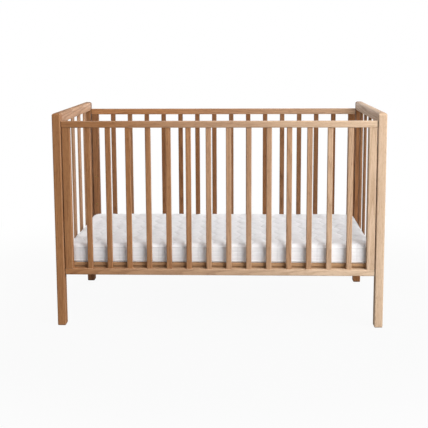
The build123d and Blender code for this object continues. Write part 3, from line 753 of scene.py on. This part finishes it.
def border_profile(seam_z, bottom_z):
    """Height and outset of each ring of the side border, from the top seam down to the bottom."""
    foot = bottom_z + FOOT_HEIGHT
    tall = seam_z - foot
    profile = []
    for share in np.linspace(0, 1, BORDER_RINGS + 1)[1:]:
        bulge = SEAM_PINCH * (4 * share * (1 - share)) ** BORDER_ROUND
        lines = [(number + 1) / (BORDER_LINES + 1) for number in range(BORDER_LINES)]
        near = min(abs(share - line) for line in lines)
        groove = BORDER_GROOVE * math.exp(-(near / BORDER_GROOVE_WIDTH) ** 2)
        profile.append((seam_z - tall * share, bulge - groove))
    for share in FOOT_RINGS:
        angle = share * math.pi / 2
        profile.append((foot - FOOT_HEIGHT * math.sin(angle), -FOOT_INSET * (1 - math.cos(angle))))
    return profile


def tube_ring(rim, outward, z, outset, radius, sides):
    """Points and faces of a round cord sewn along a closed rim."""
    points = []
    for (x, y), (nx, ny) in zip(rim, outward):
        for side in range(sides):
            angle = 2 * math.pi * side / sides
            out = outset + radius * math.cos(angle)
            points.append((x + nx * out, y + ny * out, z + radius * math.sin(angle)))
    count = len(rim)
    faces = []
    for i in range(count):
        for side in range(sides):
            here = i * sides
            there = (i + 1) % count * sides
            beside = (side + 1) % sides
            faces.append((here + side, there + side, there + beside, here + beside))
    return points, faces


def make_mattress():
    """The quilted mattress: sewn top, piped seams, lined border and plain bottom."""
    low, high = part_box("mattress")
    half_x = high.x - SEAM_PINCH
    half_y = high.y - SEAM_PINCH
    seam_z = low.z + SEAM_ABOVE_BASE
    top, sewn = mattress_top(half_x, half_y, seam_z)
    top = inflate(top, sewn)
    rows, columns, _ = top.shape
    rim_numbers = grid_rim(rows, columns)
    flat = top.reshape(-1, 3)
    rim = flat[rim_numbers][:, :2]
    outward = rim_normals(rim)
    points = [tuple(point) for point in flat]
    faces = grid_faces(rows, columns, 0, False)
    previous = rim_numbers
    profile = border_profile(seam_z, low.z)
    for z, outset in profile[:-1]:
        ring = []
        for (x, y), (nx, ny) in zip(rim, outward):
            ring.append(len(points))
            points.append((x + nx * outset, y + ny * outset, z))
        for i, number in enumerate(previous):
            after = (i + 1) % len(previous)
            faces.append((previous[after], number, ring[i], ring[after]))
        previous = ring
    first = len(points)
    shrink = profile[-1][1]
    bottom = flat[:, :2] * [1 + shrink / half_x, 1 + shrink / half_y]
    points += [(x, y, low.z) for x, y in bottom]
    faces += grid_faces(rows, columns, first, True)
    for i, number in enumerate(previous):
        after = (i + 1) % len(previous)
        faces.append((previous[after], number, first + rim_numbers[i], first + rim_numbers[after]))
    cover = mesh_piece("mattress_cover", points, faces, quilted_fabric("mattress_ticking", True))
    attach(cover, "mattress")
    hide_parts("mattress")
    piping_fabric = quilted_fabric("mattress_piping_tape", False)
    for name, z in (("top", seam_z), ("bottom", low.z + FOOT_HEIGHT)):
        outset = PIPING_RADIUS * PIPING_OUTSET
        ring = tube_ring(rim, outward, z, outset, PIPING_RADIUS, PIPING_SIDES)
        piping = mesh_piece(f"mattress_{name}_piping", *ring, piping_fabric)
        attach(piping, "mattress")


# Stage, light and camera

def seen_share(shader):
    """1 for what the camera sees straight, mirrored or through glass, and 0 for light that bounces."""
    path = shader.node("ShaderNodeLightPath")
    seen = shader.math("MAXIMUM", path.outputs["Is Camera Ray"], path.outputs["Is Glossy Ray"])
    return shader.math("MAXIMUM", seen, path.outputs["Is Transmission Ray"])


def floor_material():
    """A pale floor: it looks nearly white, keeps the crib's shadow, and fades to plain white."""
    shader = Shader("pale_floor")
    x, y, _ = shader.split(shader.coordinates()[0])
    squares = shader.math("MULTIPLY_ADD", x, x, shader.math("MULTIPLY", y, y))
    fade = shader.ramp(shader.math("SQRT", squares), *FLOOR_FADE)
    white = shader.math("MULTIPLY_ADD", fade, 1 - FLOOR_WHITE_NEAR, FLOOR_WHITE_NEAR)
    share = shader.math("MULTIPLY", white, seen_share(shader))
    tone = (FLOOR_TONE, FLOOR_TONE, FLOOR_TONE, 1.0)
    matt = shader.node("ShaderNodeBsdfDiffuse", {"Color": tone})
    glow = shader.node("ShaderNodeEmission", {"Color": (1.0, 1.0, 1.0, 1.0), "Strength": 1.0})
    both = shader.node("ShaderNodeMixShader", {0: share, 1: matt.outputs[0], 2: glow.outputs[0]})
    shader.node("ShaderNodeOutputMaterial", {"Surface": both.outputs[0]})
    return shader.material


def make_floor():
    """One large square floor under the feet."""
    h = FLOOR_HALF
    corners = [(-h, -h, -FLOOR_DROP), (h, -h, -FLOOR_DROP), (h, h, -FLOOR_DROP), (-h, h, -FLOOR_DROP)]
    mesh_piece("floor", corners, [(0, 1, 2, 3)], floor_material())


class WorldShader(Shader):
    """The same node maker, working on the world."""

    def __init__(self, world):
        world.use_nodes = True
        self.tree = world.node_tree
        self.tree.nodes.clear()


def make_world():
    """White where it is seen. The light that it gives is a low fill, mostly from the front right."""
    world = bpy.data.worlds.new("studio")
    bpy.context.scene.world = world
    shader = WorldShader(world)
    parts = shader.split(shader.node("ShaderNodeTexCoord").outputs["Generated"])
    facing = 0.0
    for part, share in zip(parts, FILL_FROM):
        facing = shader.math("MULTIPLY_ADD", part, share, facing)
    fill = shader.ramp(facing, *FILL_RAMP)
    fill = shader.math("MULTIPLY_ADD", fill, FILL_BRIGHT - FILL_DARK, FILL_DARK)
    level = shader.math("MAXIMUM", seen_share(shader), fill)
    sky = shader.node("ShaderNodeBackground", {"Color": (1.0, 1.0, 1.0, 1.0), "Strength": level})
    shader.node("ShaderNodeOutputWorld", {"Surface": sky.outputs[0]})


def soft_lamp(name, place, size, power):
    """A square soft light turned to the crib."""
    light = bpy.data.lights.new(name, "AREA")
    light.size = size
    light.energy = power
    lamp = bpy.data.objects.new(name, light)
    lamp.location = place
    lamp.visible_camera = False
    lamp.rotation_euler = (Vector(AIM) - Vector(place)).to_track_quat("-Z", "Y").to_euler()
    bpy.context.scene.collection.objects.link(lamp)


def make_camera():
    """The camera at the photographed view."""
    data = bpy.data.cameras.new("camera")
    data.sensor_width = CAMERA_SENSOR
    data.lens = CAMERA_LENS
    data.shift_y = CAMERA_SHIFT
    camera = bpy.data.objects.new("camera", data)
    turn = Matrix.Rotation(math.radians(-CAMERA_YAW), 4, "Z")
    tip = Matrix.Rotation(math.radians(90 - CAMERA_PITCH), 4, "X")
    lean = Matrix.Rotation(math.radians(CAMERA_ROLL), 4, "Z")
    camera.matrix_world = Matrix.Translation(Vector(CAMERA_PLACE)) @ turn @ tip @ lean
    bpy.context.scene.collection.objects.link(camera)
    bpy.context.scene.camera = camera


dress_solids()
make_mattress()
make_floor()
make_world()
soft_lamp("key", KEY_PLACE, KEY_SIZE, KEY_POWER)
soft_lamp("top", TOP_PLACE, TOP_SIZE, TOP_POWER)
soft_lamp("back", BACK_PLACE, BACK_SIZE, BACK_POWER)
soft_lamp("side", SIDE_PLACE, SIDE_SIZE, SIDE_POWER)
make_camera()
bpy.context.scene.view_settings.view_transform = "Standard"
